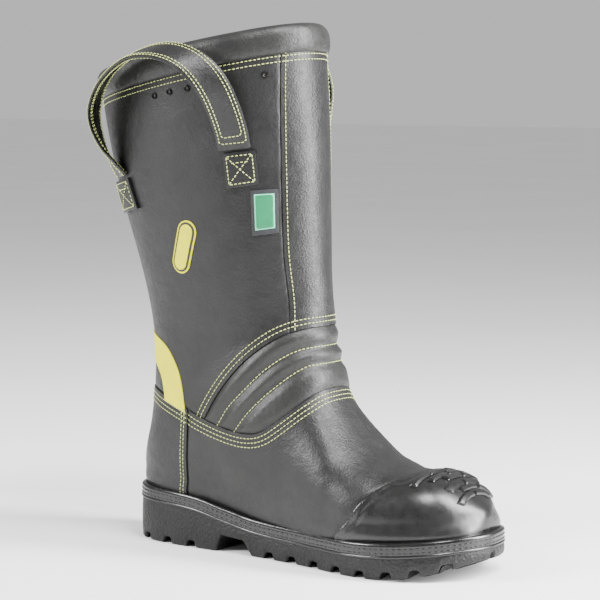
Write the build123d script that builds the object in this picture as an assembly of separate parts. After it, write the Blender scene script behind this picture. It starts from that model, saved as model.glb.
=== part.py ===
from build123d import *
from math import cos, pi, sin
import os

# Structural firefighting boot, a right boot of about size EU 43, in millimetres.
# While it is drawn, X runs from the heel (0) to the toe, Z is up from the ground and the
# lateral side is -Y. At the end every node moves by -FOOTPRINT_MID in X, so that the origin
# is under the middle of the boot.

FOOTPRINT_MID = 132.5

# Layers of the upper, from the outside in.
LEATHER = 2.4
INSULATION = 5.0
LINING = 1.6
STIFFENER = 1.8
TO_INSULATION = LEATHER
TO_STIFFENER = LEATHER + STIFFENER
TO_LINING = LEATHER + INSULATION
TO_FOOT = LEATHER + INSULATION + LINING

# Things sewn or bonded on the outside of the leather.
TAB_THICKNESS = 1.2
PATCH_THICKNESS = 2.0

# The bottom of the boot.
PLATE = 2.5
FOOTBED = 4.5
SOLE_WALL = 9.0
SOLE_TREAD = 9.0
LUG_DEPTH = 4.5
LUG_GAP = 6.5
SHANK_LENGTH = 100.0
SHANK_WIDTH = 16.0
SHANK_THICKNESS = 1.6

COLLAR_HEIGHT = 20.0
COLLAR_COVER = 1.8
COLLAR_INSET = 0.4
STRAP_WIDTH = 25.0
STRAP_THICKNESS = 3.0
STRAP_LEAN = 25.0
BODY_GAP = 0.6
SPAN = 200.0
CRUMB = 0.02
REAR_LIMIT, FRONT_LIMIT, LOW_LIMIT, HIGH_LIMIT = -100.0, 340.0, -20.0, 470.0

# The upper as a fan of sections from the toe round the ankle to the top. Each has the
# bottom or back point (x, z), the top or front point (x, z), the lateral and medial half
# widths, where the widest place is between the two points, how square the bottom and the
# top are, the middle in Y, and how far an inner layer moves inward and back from the toe.
STATIONS = [
    ((297.2, 42.5), (296.6, 47.0), 4.0, 4.0, 0.50, 2.2, 2.2, 7, 0.10, 1.00),
    ((296.4, 38.4), (292.6, 51.4), 11.0, 11.6, 0.50, 2.2, 2.2, 7, 0.30, 0.95),
    ((293.0, 29.6), (286.2, 57.0), 22.6, 23.6, 0.45, 2.6, 2.2, 7, 0.60, 0.75),
    ((284.0, 24.8), (276.0, 65.0), 35.3, 35.1, 0.40, 3.2, 2.4, 6, 0.90, 0.45),
    ((265.2, 22.4), (259.6, 70.2), 46.0, 43.3, 0.36, 3.6, 2.5, 4, 1.00, 0.15),
    ((240.0, 21.0), (235.4, 71.0), 51.4, 46.6, 0.36, 3.8, 2.5, 2, 1.00, 0.00),
    ((226.2, 20.6), (223.2, 75.0), 53.0, 47.4, 0.36, 3.8, 2.45, 1, 1.00, 0.00),
    ((212.2, 20.4), (210.6, 80.8), 53.6, 47.7, 0.36, 3.8, 2.4, 0, 1.00, 0.00),
    ((197.4, 20.6), (198.8, 90.8), 52.6, 46.6, 0.36, 3.8, 2.35, 0, 1.00, 0.00),
    ((182.2, 20.9), (187.4, 103.6), 50.9, 45.0, 0.36, 3.8, 2.3, -1, 1.00, 0.00),
    ((149.5, 21.6), (171.2, 127.4), 46.4, 41.8, 0.36, 3.6, 2.2, -1, 1.00, 0.00),
    ((110.2, 24.0), (165.0, 151.3), 45.5, 42.4, 0.42, 3.2, 2.1, 0, 1.00, 0.00),
    ((65.8, 27.4), (160.8, 170.6), 46.0, 44.7, 0.50, 2.8, 2.0, 0, 1.00, 0.00),
    ((22.8, 27.2), (159.2, 184.4), 47.7, 47.2, 0.56, 2.5, 2.0, 0, 1.00, 0.00),
    ((-1.8, 48.6), (158.6, 195.8), 47.5, 47.0, 0.56, 2.3, 2.0, 0, 1.00, 0.00),
    ((1.4, 82.0), (157.8, 207.0), 46.1, 46.4, 0.54, 2.2, 2.0, 0, 1.00, 0.00),
    ((6.6, 120.3), (156.9, 220.5), 47.3, 47.5, 0.52, 2.1, 2.0, 0, 1.00, 0.00),
    ((6.6, 157.5), (156.4, 238.8), 50.1, 50.1, 0.50, 2.0, 2.0, 0, 1.00, 0.00),
    ((-2.5, 199.0), (155.8, 262.3), 53.2, 53.2, 0.50, 2.0, 2.0, 0, 1.00, 0.00),
    ((-16.8, 246.1), (154.3, 299.0), 57.6, 57.6, 0.50, 2.0, 2.0, 0, 1.00, 0.00),
    ((-31.4, 295.4), (151.6, 341.0), 61.8, 61.6, 0.50, 2.0, 2.0, 0, 1.00, 0.00),
    ((-41.4, 344.0), (149.3, 383.3), 64.4, 64.0, 0.50, 2.0, 2.0, 0, 1.00, 0.00),
    ((-46.6, 385.0), (147.4, 425.3), 66.0, 65.6, 0.50, 2.0, 2.0, 0, 1.00, 0.00),
]
SECTION_POINTS = 28
ANKLE_STATION = 14

# Side views (x, z) of the seams, and the heights of the bottom along the boot.
TOP_SEAM = [(-80.0, 336.0), (190.0, 391.7)]
FEATHER = [(-12, 31.2), (22, 29.8), (65, 29.6), (110, 26.4), (149, 24.1), (182, 23.3), (212, 22.8),
           (240, 23.4), (265, 24.8), (284, 27.2), (312, 32.0)]
RIM = [(-12, 43.4), (5, 43.0), (60, 40.3), (95, 33.4), (130, 27.6), (200, 25.6), (250, 27.2),
       (312, 33.4)]
GROUND = [(232, 0.0), (262, 2.4), (290, 8.6), (312, 16.0)]
FOOT_EDGE = [(-60, 124), (0, 121.6), (22, 119.6), (36, 116.2), (51, 112.2), (64, 108.4), (78, 103.2),
             (102, 96.2), (119, 94.2), (133, 97.4), (149, 108.6), (162, 120.4), (170, 128.6),
             (182, 133), (200, 134)]
FLEX_EDGE = [(78, 100), (81, 104.2), (90, 118.2), (102, 134.2), (118, 151.4), (136, 166), (150, 173.6),
             (162, 176.2), (180, 176.8)]
FRONT_EDGE = [(147.8, 160), (146.4, 180), (142.8, 226), (141.2, 271), (140.1, 323), (139.0, 400)]
COUNTER_EDGE = [(62.0, 130), (63.8, 108), (62.8, 90), (61.2, 76), (58.4, 54), (55.6, 41), (54, 20)]
TOE_EDGE = [(200.5, 10), (203.6, 26), (216.2, 40.4), (224.0, 52.8), (232.6, 61.8), (240.4, 67.4),
            (248, 70.6), (260, 90)]

# Plan view (x, y) of the sole's edge.
SOLE_PLAN = [(-5.5, 0), (-2.6, -18), (5, -30), (20, -38), (45, -42), (80, -42.6), (120, -42.6),
             (160, -46.6), (190, -52), (215, -57), (240, -57.4), (265, -51.6), (285, -40), (298.4, -24),
             (305.4, -6), (306.4, 8), (301.6, 27), (287, 42.6), (265, 51.6), (240, 54.4), (215, 53.6),
             (190, 49.4), (160, 43.6), (120, 40.2), (80, 41.2), (45, 41.4), (20, 38), (5, 30), (-2.6, 18)]

# Outlines (x, z) of what is sewn on the lateral side of the shaft.
FRONT_PATCH = [(104.4, 305.8), (125.6, 308.6), (127.6, 283.2), (106.8, 279.8)]
REAR_PATCH = [(-13.0, 281.0), (13.0, 286.0), (21.6, 262.4), (-4.4, 257.0)]
TAG = [(122.2, 278.6), (138.8, 279.8), (139.6, 247.0), (122.8, 244.2)]
TAG_MARK = [(124.4, 275.6), (136.6, 276.4), (137.2, 250.6), (125.0, 248.6)]
ARCH_OUTER = [(-40, 167), (0, 166), (20, 163), (39.5, 156), (51.6, 142), (57.6, 126), (62.6, 104)]
ARCH_INNER = [(-40, 146), (0, 145.4), (16.4, 142.6), (30, 134), (35.6, 121), (38, 104)]
EMBLEM = ((67.6, 234.6), 21.0, 8.6, 18.0)
VENTS = [(47.6, 348.6), (62.0, 351.6), (77.4, 354.4), (131.4, 364.4)]
VENT_OUTER = 2.6
VENT_BORE = 1.3
EYELET_STAND = 0.6

# The pull loop, as places along the line between its patches, heights above that line in
# the loop's own leaning plane, and the two patches' top middles with their outward normals.
LOOP_PATH = [(1.0, 0.5), (-1.5, 12), (-3.5, 27), (-0.5, 45), (7.5, 60), (20.0, 72), (35.0, 81),
             (53.0, 87.5), (71.0, 90.5), (89.0, 89), (104.0, 83.5), (115.5, 74), (122.5, 61), (125.5, 46),
             (125.0, 30), (122.5, 14), (118.5, 0.5)]
LOOP_FRONT = (115.2, -53.4, 309.4)
LOOP_REAR = (-1.6, -45.0, 285.4)
LOOP_NORMALS = [(0.0, (-0.55, -0.80, -0.22)), (0.10, (-0.72, -0.66, -0.10)), (0.26, (-0.96, -0.22, 0.14)),
                (0.50, (-0.10, -0.30, 0.95)), (0.68, (0.35, -0.62, 0.70)), (0.84, (0.46, -0.86, 0.22)),
                (1.0, (0.43, -0.90, 0.0))]
LOOP_PIVOT_OUT = 8.0

foot_nodes = {}


def inset_station(station, depth):
    """A section's two points and half widths, moved inward by depth."""
    low, high, lateral, medial, middle, square_low, square_high, centre, inward, back = station
    run = (high[0] - low[0], high[1] - low[1])
    length = (run[0] ** 2 + run[1] ** 2) ** 0.5
    step = (run[0] / length * depth * inward, run[1] / length * depth * inward)
    shift = depth * back
    low = (low[0] + step[0] - shift, low[1] + step[1])
    high = (high[0] - step[0] - shift, high[1] - step[1])
    narrower = depth * inward
    return low, high, lateral - narrower, medial - narrower, middle, square_low, square_high, centre


def section_wire(station, depth):
    """One closed section: a rounded outline, squarer at the bottom where the foot stands."""
    low, high, lateral, medial, middle, square_low, square_high, centre = inset_station(station, depth)
    points = []
    for k in range(SECTION_POINTS):
        angle = 2 * pi * (k + 0.5) / SECTION_POINTS
        power = 2 / (square_low if cos(angle) > 0 else square_high)
        along = abs(cos(angle)) ** power
        out = abs(sin(angle)) ** power
        share = middle * (1 - along) if cos(angle) > 0 else middle + (1 - middle) * along
        width = -lateral if sin(angle) > 0 else medial
        points.append(Vector(low[0] + (high[0] - low[0]) * share,
                             centre + width * out,
                             low[1] + (high[1] - low[1]) * share))
    shares = [k / SECTION_POINTS for k in range(SECTION_POINTS + 1)]
    return Wire([Edge.make_spline(points, periodic=True, parameters=shares)])


def last_shape(depth):
    """The solid inside the upper at this depth below its outer face, as a foot and a leg."""
    wires = [section_wire(station, depth) for station in STATIONS]
    foot = Solid.make_loft(wires[:ANKLE_STATION + 1])
    return foot.fuse(Solid.make_loft(wires[ANKLE_STATION:]))


def collar_block(depth, height):
    """The solid on top of the leather, up to a height above the seam."""
    seam, end = STATIONS[-2], STATIONS[-1]
    share = height / (end[0][1] - seam[0][1])
    low, high = [tuple(a + (b - a) * share for a, b in zip(seam[k], end[k])) for k in (0, 1)]
    wires = [section_wire(seam, depth), section_wire((low, high) + seam[2:], depth)]
    return Solid.make_loft(wires)


def layer(outside, inside, region):
    """What lies between two of the nested shapes, within a region."""
    return (outside & region) - inside


def side_point(point):
    return Vector(point[0], -SPAN / 2, point[1])


def side_prism(edges, y_from=-SPAN / 2, y_to=SPAN / 2):
    """A closed side view made solid across the boot."""
    face = Face(Wire(edges)).moved(Location((0, y_from + SPAN / 2, 0)))
    return Solid.extrude(face, Vector(0, y_to - y_from, 0))


def polygon_prism(points, y_from=-SPAN / 2, y_to=SPAN / 2):
    corners = [side_point(point) for point in points]
    edges = [Edge.make_line(a, b) for a, b in zip(corners, corners[1:] + corners[:1])]
    return side_prism(edges, y_from, y_to)


def curve_prism(curve, far, lift=0.0):
    """Everything between a curve of the side view and the far corners, across the boot."""
    points = [side_point((x, z + lift)) for x, z in curve]
    corners = [points[-1]] + [side_point(corner) for corner in far] + [points[0]]
    lines = [Edge.make_line(a, b) for a, b in zip(corners, corners[1:])]
    return side_prism([Edge.make_spline(points)] + lines)


def level_prism(curve, level, lift):
    """Everything between a curve that runs from heel to toe and one far level."""
    first, last = curve[0][1] + lift, curve[-1][1] + lift
    far = [(FRONT_LIMIT, last), (FRONT_LIMIT, level), (REAR_LIMIT, level), (REAR_LIMIT, first)]
    return curve_prism(curve, far, lift)


def above(curve, lift=0.0):
    return level_prism(curve, HIGH_LIMIT, lift)


def below(curve, lift=0.0):
    return level_prism(curve, LOW_LIMIT, lift)


def ahead(curve):
    return curve_prism(curve, [(FRONT_LIMIT, curve[-1][1]), (FRONT_LIMIT, curve[0][1])])


def plan_prism(points, inset, z_low, z_high):
    """The sole's plan as a solid, drawn in by inset square to its edge."""
    edge = []
    for k, (x, y) in enumerate(points):
        before, after = points[k - 1], points[(k + 1) % len(points)]
        along = Vector(after[0] - before[0], after[1] - before[1], 0).normalized()
        inward = Vector(0, 0, 1).cross(along) * inset
        edge.append(Vector(x, y, z_low) + inward)
    outline = Wire([Edge.make_spline(edge, periodic=True)])
    return Solid.extrude(Face(outline), Vector(0, 0, z_high - z_low))


def lateral_only(prism_points):
    return polygon_prism(prism_points, -SPAN / 2, 0)


def mirrored(shape):
    return shape.mirror(Plane.XZ)


def save(name, shape):
    """Keeps one named piece, moved so that the origin is under the middle of the boot."""
    largest = max(solid.volume for solid in shape.solids())
    solids = [solid for solid in shape.solids() if solid.volume > largest * CRUMB]
    piece = solids[0] if len(solids) == 1 else Compound(solids)
    piece = piece.moved(Location((-FOOTPRINT_MID, 0, 0)))
    piece.label = name
    export_step(piece, f"parts/{name}.step")
    foot_nodes[name] = piece
    print(name, len(solids), round(piece.volume))


def unit(vector):
    return Vector(*vector).normalized()


def strap_normal(share):
    """The way that the strap's outer face looks at a share of its length."""
    for (low, before), (high, after) in zip(LOOP_NORMALS, LOOP_NORMALS[1:]):
        if share <= high:
            part = (share - low) / (high - low)
            return unit(before) * (1 - part) + unit(after) * part
    return unit(LOOP_NORMALS[-1][1])


def strap_frames():
    """Places, widths and normals along the lateral pull loop, from its rear patch forward."""
    front, rear = Vector(*LOOP_FRONT), Vector(*LOOP_REAR)
    chord = (front - rear).normalized()
    out = Vector(0, 0, 1).cross(chord).normalized() * -1
    upright = out.cross(chord).normalized()
    upright = upright if upright.Z > 0 else upright * -1
    lean = STRAP_LEAN * pi / 180
    rise = upright * cos(lean) + out * sin(lean)
    places = [rear + chord * along + rise * height for along, height in LOOP_PATH]
    frames = []
    for k, place in enumerate(places):
        after = places[min(k + 1, len(places) - 1)]
        before = places[max(k - 1, 0)]
        tangent = (after - before).normalized()
        width = tangent.cross(strap_normal(k / (len(places) - 1))).normalized()
        frames.append((place, width, width.cross(tangent).normalized()))
    return frames, rear, front, chord, out


def strap_solid():
    frames = strap_frames()[0]
    wires = []
    for place, width, normal in frames:
        w = width * (STRAP_WIDTH / 2)
        n = normal * (STRAP_THICKNESS / 2)
        corners = [place + w + n, place - w + n, place - w - n, place + w - n]
        wires.append(Wire([Edge.make_line(a, b) for a, b in zip(corners, corners[1:] + corners[:1])]))
    return Solid.make_loft(wires)


os.makedirs("parts", exist_ok=True)

# The nested shapes that the layers are cut from.
outer = last_shape(0)
under_leather = last_shape(TO_INSULATION)
under_stiffener = last_shape(TO_STIFFENER)
under_insulation = last_shape(TO_LINING)
foot_space = last_shape(TO_FOOT)

body = below(TOP_SEAM) & above(FEATHER)
foot_side = below(FOOT_EDGE)
shaft_side = above(FOOT_EDGE, BODY_GAP)
toe_side = ahead(TOE_EDGE)
vamp_side = ahead(COUNTER_EDGE)
front_side = ahead(FRONT_EDGE)
plate_top = above(FEATHER, PLATE)

# The leather upper.
leather = layer(outer, under_leather, body)
foot_leather = leather & foot_side
save("toe_cap_cover", foot_leather & toe_side)
save("vamp", (foot_leather & vamp_side) - toe_side)
save("heel_counter_cover", foot_leather - vamp_side)
shaft_leather = leather & shaft_side
flex_region = below(FLEX_EDGE)
save("instep_flex_panel", shaft_leather & flex_region)
shaft_wrap = shaft_leather - flex_region
save("shaft_front_panel", shaft_wrap & front_side)
side_wrap = shaft_wrap - front_side
vent_pins = [Solid.make_cylinder(VENT_OUTER, 90, Plane((x, 0, z), z_dir=(0, -1, 0))) for x, z in VENTS]
for name, side in (("lateral", -1), ("medial", 1)):
    half = Solid.make_box(400, SPAN / 2, 460, Plane((-80, min(side, 0) * SPAN / 2, -10)))
    pins = vent_pins if side < 0 else [mirrored(pin) for pin in vent_pins]
    save(f"shaft_panel_{name}", (side_wrap & half) - pins)

# The stiff and soft layers under the leather.
wadding = layer(under_leather, under_insulation, plate_top & below(TOP_SEAM))
toe_cap = layer(under_leather, under_stiffener, plate_top & toe_side.moved(Location((4, 0, 0))))
stiffener_edge = [(-60, 96), (10, 95), (34, 84), (52, 60), (60, 20)]
heel_stiffener = layer(under_leather, under_stiffener, plate_top & below(stiffener_edge))
save("safety_toe_cap", toe_cap)
save("heel_stiffener", heel_stiffener)
save("foot_insulation", (wadding & foot_side) - toe_cap - heel_stiffener)
ankle_wadding = wadding & shaft_side
save("instep_foam", ankle_wadding & flex_region)
shin_pad_area = polygon_prism([(132, 200), (200, 200), (200, 352), (132, 352)])
shaft_wadding = ankle_wadding - flex_region
save("shin_pad", shaft_wadding & shin_pad_area)
save("shaft_insulation", shaft_wadding - shin_pad_area)
bootie_region = plate_top & below(TOP_SEAM)
save("membrane_bootie", layer(under_insulation, foot_space, bootie_region))

# The bottom, from the foot down.
footbed_top = INSULATION + LINING + FOOTBED
save("footbed", foot_space & below(FEATHER, footbed_top))
save("puncture_plate", under_leather & above(FEATHER) & below(FEATHER, PLATE))
sole_block = plan_prism(SOLE_PLAN, 0, -5, 60) & below(RIM)
heel_and_tread = [(-12, 3.0), (-2, 0.0), (86, 0.0), (91, 12.5), (112, 11.0), (120, 0.0), (232, 0.0)]
ground_corners = [side_point(point) for point in heel_and_tread]
ground_lines = [Edge.make_line(a, b) for a, b in zip(ground_corners, ground_corners[1:])]
toe_spring = Edge.make_spline([side_point(point) for point in GROUND])
under = [side_point(point) for point in ((312, -20), (-12, -20))]
under_lines = [Edge.make_line(a, b) for a, b in ((side_point(GROUND[-1]), under[0]), under,
                                                 (under[1], ground_corners[0]))]
ground = side_prism(ground_lines + [toe_spring] + under_lines)
raised_ground = ground.moved(Location((0, 0, SOLE_TREAD)))
midsole = (plan_prism(SOLE_PLAN, SOLE_WALL, -5, 60) & below(FEATHER)) - raised_ground
shank = Solid.make_box(SHANK_LENGTH, SHANK_WIDTH, 60, Plane((55, -SHANK_WIDTH / 2, 0)))
shank = shank & below(FEATHER) & above(FEATHER, -SHANK_THICKNESS)
save("shank", shank)
save("midsole", midsole - shank)
sole_rubber = sole_block - ground - (outer & above(FEATHER)) - midsole

lug_slots = []
for side in (-1, 1):
    for x in (14, 38, 62, 128, 150, 172, 194, 216, 238, 260, 282):
        slot = Solid.make_box(LUG_GAP, 44, LUG_DEPTH * 2, Plane((-LUG_GAP / 2, 14, -LUG_DEPTH)))
        turned = slot.rotate(Axis.Z, -12 if x > 100 else 0)
        turned = turned if side > 0 else mirrored(turned)
        rise = 0.0 if x < 240 else (x - 240) ** 2 / 290
        lug_slots.append(turned.moved(Location((x, 0, rise))))
save("outsole", sole_rubber - lug_slots)

# The padded collar on the top edge: a cover folded over a strip of foam.
collar_ring = collar_block(COLLAR_INSET, COLLAR_HEIGHT) - foot_space
foam_inside = last_shape(TO_FOOT - COLLAR_COVER)
foam_ring = collar_block(COLLAR_INSET + COLLAR_COVER, COLLAR_HEIGHT - COLLAR_COVER) - foam_inside
save("collar_cover", collar_ring - foam_ring)
save("collar_foam", foam_ring)

# Pieces on the outside of the shaft.
tab_shell = last_shape(-TAB_THICKNESS)
patch_shell = last_shape(-PATCH_THICKNESS)
for name, outline in (("front", FRONT_PATCH), ("rear", REAR_PATCH)):
    patch = layer(patch_shell, outer, lateral_only(outline))
    save(f"loop_patch_lateral_{name}", patch)
    save(f"loop_patch_medial_{name}", mirrored(patch))
save("tag", layer(tab_shell, outer, lateral_only(TAG)))
save("tag_mark", layer(patch_shell, tab_shell, lateral_only(TAG_MARK)))
arch_area = above(FOOT_EDGE, BODY_GAP) & below(ARCH_OUTER) - below(ARCH_INNER)
save("heel_reflector", layer(tab_shell, outer, arch_area))

centre, length, width, tilt = EMBLEM
emblem_plane = Plane((centre[0], 0, centre[1]), x_dir=(sin(tilt * pi / 180), 0, cos(tilt * pi / 180)),
                     z_dir=(0, -1, 0))
emblem_face = emblem_plane * SlotOverall(length * 2, width * 2)
save("emblem", layer(patch_shell, outer, Solid.extrude(emblem_face.face(), Vector(0, -SPAN / 2, 0))))

# Vent eyelets, set through the leather on both sides.
eyelet_shell = last_shape(-EYELET_STAND)
eyelets = []
for (x, z), pin in zip(VENTS, vent_pins):
    bore = Solid.make_cylinder(VENT_BORE, 95, Plane((x, 0, z), z_dir=(0, -1, 0)))
    ring = layer(eyelet_shell, under_leather, pin - bore)
    eyelets += [ring, mirrored(ring)]
save("vent_eyelets", Compound([solid for ring in eyelets for solid in ring.solids()]))

# The two pull loops.
strap = strap_solid()
save("lateral_loop", strap)
save("medial_loop", mirrored(strap))

frames, rear, front, chord, out = strap_frames()
pivot = rear + out * LOOP_PIVOT_OUT - Vector(FOOTPRINT_MID, 0, 0)
print("lateral loop pivot", pivot, "axis", chord)
box = Compound([piece for piece in foot_nodes.values()]).bounding_box()
print("whole boot", box.min, box.max)
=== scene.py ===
import bpy
import numpy as np
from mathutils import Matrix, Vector


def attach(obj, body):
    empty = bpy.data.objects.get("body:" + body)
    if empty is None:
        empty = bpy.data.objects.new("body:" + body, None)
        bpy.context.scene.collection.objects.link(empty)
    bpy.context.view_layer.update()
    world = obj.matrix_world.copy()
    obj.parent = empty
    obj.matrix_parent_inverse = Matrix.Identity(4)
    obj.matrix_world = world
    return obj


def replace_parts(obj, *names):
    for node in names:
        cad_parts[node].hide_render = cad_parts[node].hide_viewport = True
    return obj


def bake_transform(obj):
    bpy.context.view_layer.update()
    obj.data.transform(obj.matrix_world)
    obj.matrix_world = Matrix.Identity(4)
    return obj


# A structural firefighting boot. Shapes are worked out in millimetres with X from the heel, Y across
# with the lateral side negative, and Z up, and are moved into the row frame as each mesh is made.
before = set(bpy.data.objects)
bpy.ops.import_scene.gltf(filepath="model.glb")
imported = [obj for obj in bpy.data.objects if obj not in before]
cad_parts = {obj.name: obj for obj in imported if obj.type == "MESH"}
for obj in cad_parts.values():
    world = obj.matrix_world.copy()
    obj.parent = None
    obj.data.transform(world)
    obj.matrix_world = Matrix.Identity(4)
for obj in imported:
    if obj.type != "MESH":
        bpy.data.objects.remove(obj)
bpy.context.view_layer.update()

FOOTPRINT_MID = 132.5
AROUND = 240
ROW_STEP = 1.9
COVER = 1.1
RING_SAMPLES = 721
# Grid rows from this one up cross the top seam once.
ROWS_NEAR_TOP = 150

# ---------------------------------------------------------------- sizes of the boot
# The upper as a fan of sections from the toe round the ankle to the top. Each has its low or back point
# (x, z), its high or front point (x, z), the lateral and medial half widths, where the widest place is
# between the points, how square the bottom and the top are, the middle in Y, and how far an inner layer
# moves inward and back from the toe.
STATIONS = [
    (297.2, 42.5, 296.6, 47.0, 4.0, 4.0, 0.50, 2.2, 2.2, 7, 0.10, 1.00),
    (296.4, 38.4, 292.6, 51.4, 11.0, 11.6, 0.50, 2.2, 2.2, 7, 0.30, 0.95),
    (293.0, 29.6, 286.2, 57.0, 22.6, 23.6, 0.45, 2.6, 2.2, 7, 0.60, 0.75),
    (284.0, 24.8, 276.0, 65.0, 35.3, 35.1, 0.40, 3.2, 2.4, 6, 0.90, 0.45),
    (265.2, 22.4, 259.6, 70.2, 46.0, 43.3, 0.36, 3.6, 2.5, 4, 1.00, 0.15),
    (240.0, 21.0, 235.4, 71.0, 51.4, 46.6, 0.36, 3.8, 2.5, 2, 1.00, 0.00),
    (226.2, 20.6, 223.2, 75.0, 53.0, 47.4, 0.36, 3.8, 2.45, 1, 1.00, 0.00),
    (212.2, 20.4, 210.6, 80.8, 53.6, 47.7, 0.36, 3.8, 2.4, 0, 1.00, 0.00),
    (197.4, 20.6, 198.8, 90.8, 52.6, 46.6, 0.36, 3.8, 2.35, 0, 1.00, 0.00),
    (182.2, 20.9, 187.4, 103.6, 50.9, 45.0, 0.36, 3.8, 2.3, -1, 1.00, 0.00),
    (149.5, 21.6, 171.2, 127.4, 46.4, 41.8, 0.36, 3.6, 2.2, -1, 1.00, 0.00),
    (110.2, 24.0, 165.0, 151.3, 45.5, 42.4, 0.42, 3.2, 2.1, 0, 1.00, 0.00),
    (65.8, 27.4, 160.8, 170.6, 46.0, 44.7, 0.50, 2.8, 2.0, 0, 1.00, 0.00),
    (22.8, 27.2, 159.2, 184.4, 47.7, 47.2, 0.56, 2.5, 2.0, 0, 1.00, 0.00),
    (-1.8, 48.6, 158.6, 195.8, 47.5, 47.0, 0.56, 2.3, 2.0, 0, 1.00, 0.00),
    (1.4, 82.0, 157.8, 207.0, 46.1, 46.4, 0.54, 2.2, 2.0, 0, 1.00, 0.00),
    (6.6, 120.3, 156.9, 220.5, 47.3, 47.5, 0.52, 2.1, 2.0, 0, 1.00, 0.00),
    (6.6, 157.5, 156.4, 238.8, 50.1, 50.1, 0.50, 2.0, 2.0, 0, 1.00, 0.00),
    (-2.5, 199.0, 155.8, 262.3, 53.2, 53.2, 0.50, 2.0, 2.0, 0, 1.00, 0.00),
    (-16.8, 246.1, 154.3, 299.0, 57.6, 57.6, 0.50, 2.0, 2.0, 0, 1.00, 0.00),
    (-31.4, 295.4, 151.6, 341.0, 61.8, 61.6, 0.50, 2.0, 2.0, 0, 1.00, 0.00),
    (-41.4, 344.0, 149.3, 383.3, 64.4, 64.0, 0.50, 2.0, 2.0, 0, 1.00, 0.00),
    (-46.6, 385.0, 147.4, 425.3, 66.0, 65.6, 0.50, 2.0, 2.0, 0, 1.00, 0.00),
]

# Seams in the side view (x, z).
TOP_SEAM = [(-80, 336.0), (190, 391.7)]
RIM = [(-12, 43.4), (5, 43.0), (60, 40.3), (95, 33.4), (130, 27.6), (200, 25.6), (250, 27.2), (312, 33.4)]
FOOT_EDGE = [(-60, 124), (0, 121.6), (22, 119.6), (36, 116.2), (51, 112.2), (64, 108.4), (78, 103.2),
             (102, 96.2), (119, 94.2), (133, 97.4), (149, 108.6), (162, 120.4), (170, 128.6), (182, 133),
             (200, 134)]
FLEX_EDGE = [(78, 100), (81, 104.2), (90, 118.2), (102, 134.2), (118, 151.4), (136, 166), (150, 173.6),
             (162, 176.2), (180, 176.8)]
FLEX_ROW_A = [(88, 92), (95.3, 102.8), (102.7, 113.2), (117.5, 128.5), (132.5, 143.9), (147.9, 155.8),
              (159.9, 160.4), (175, 160.8)]
FLEX_ROW_B = [(104, 90), (110.1, 98.3), (121.7, 112.3), (136.9, 127.4), (155.8, 144.1), (163.9, 147.6),
              (180, 148.4)]
FRONT_EDGE = [(147.8, 160), (146.4, 180), (142.8, 226), (141.2, 271), (140.1, 323), (139.0, 400)]
COUNTER_EDGE = [(52, 132), (60.5, 118), (63.8, 106), (62.8, 90), (61.2, 76), (58.4, 54), (55.6, 41),
                (54, 20)]
TOE_EDGE = [(200.5, 10), (203.6, 26), (216.2, 40.4), (224.0, 52.8), (232.6, 61.8), (240.4, 67.4),
            (248, 70.6), (260, 90)]
ARCH_OUTER = [(-40, 167), (0, 166), (20, 163), (39.5, 156), (51.6, 142), (57.6, 126), (62.6, 104)]
ARCH_INNER = [(-40, 146), (0, 145.4), (16.4, 142.6), (30, 134), (35.6, 121), (38, 104)]

# Outlines (x, z) of what is sewn on the side of the shaft.
FRONT_PATCH = [(104.4, 305.8), (125.6, 308.6), (127.6, 283.2), (106.8, 279.8)]
REAR_PATCH = [(-13.0, 281.0), (13.0, 286.0), (21.6, 262.4), (-4.4, 257.0)]
TAG = [(122.2, 278.6), (138.8, 279.8), (139.6, 247.0), (122.8, 244.2)]
TAG_MARK = [(124.4, 275.6), (136.6, 276.4), (137.2, 250.6), (125.0, 248.6)]
BADGE_MIDDLE, BADGE_HALF_LONG, BADGE_HALF_WIDE, BADGE_TILT = (67.6, 234.6), 21.0, 8.6, 18.0
VENTS = [(47.6, 348.6), (62.0, 351.6), (77.4, 354.4), (131.4, 364.4)]

# Plan view (x, y) of the sole's edge, and its ground line (x, z).
SOLE_PLAN = [(-5.5, 0), (-2.6, -18), (5, -30), (20, -38), (45, -42), (80, -42.6), (120, -42.6),
             (160, -46.6), (190, -52), (215, -57), (240, -57.4), (265, -51.6), (285, -40), (298.4, -24),
             (305.4, -6), (306.4, 8), (301.6, 27), (287, 42.6), (265, 51.6), (240, 54.4), (215, 53.6),
             (190, 49.4), (160, 43.6), (120, 40.2), (80, 41.2), (45, 41.4), (20, 38), (5, 30), (-2.6, 18)]
GROUND = [(-12, 3.0), (-2, 0.0), (86, 0.0), (91, 12.5), (112, 11.0), (120, 0.0), (232, 0.0), (247, 0.9),
          (262, 2.4), (276, 5.0), (290, 8.6), (312, 16.0)]
LUG_SLOTS = (14, 38, 62, 128, 150, 172, 194, 216, 238, 260, 282)
ARCH_END = 100
# Sideways sweep of the forefoot slots, the tangent of 12 degrees, and how deep the slots are.
LUG_SWEEP = 0.2126
LUG_DEPTH = 5.0

# The pull loop.
STRAP_WIDTH, STRAP_THICKNESS, STRAP_LEAN = 25.0, 3.0, 25.0
LOOP_PATH = [(1.0, 0.5), (-1.5, 12), (-3.5, 27), (-0.5, 45), (7.5, 60), (20.0, 72), (35.0, 81),
             (53.0, 87.5), (71.0, 90.5), (89.0, 89), (104.0, 83.5), (115.5, 74), (122.5, 61), (125.5, 46),
             (125.0, 30), (122.5, 14), (118.5, 0.5)]
LOOP_FRONT = (115.2, -53.4, 309.4)
LOOP_REAR = (-1.6, -45.0, 285.4)
LOOP_NORMALS = [(0.0, (-0.55, -0.80, -0.22)), (0.10, (-0.72, -0.66, -0.10)), (0.26, (-0.96, -0.22, 0.14)),
                (0.50, (-0.10, -0.30, 0.95)), (0.68, (0.35, -0.62, 0.70)), (0.84, (0.46, -0.86, 0.22)),
                (1.0, (0.43, -0.90, 0.0))]


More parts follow.
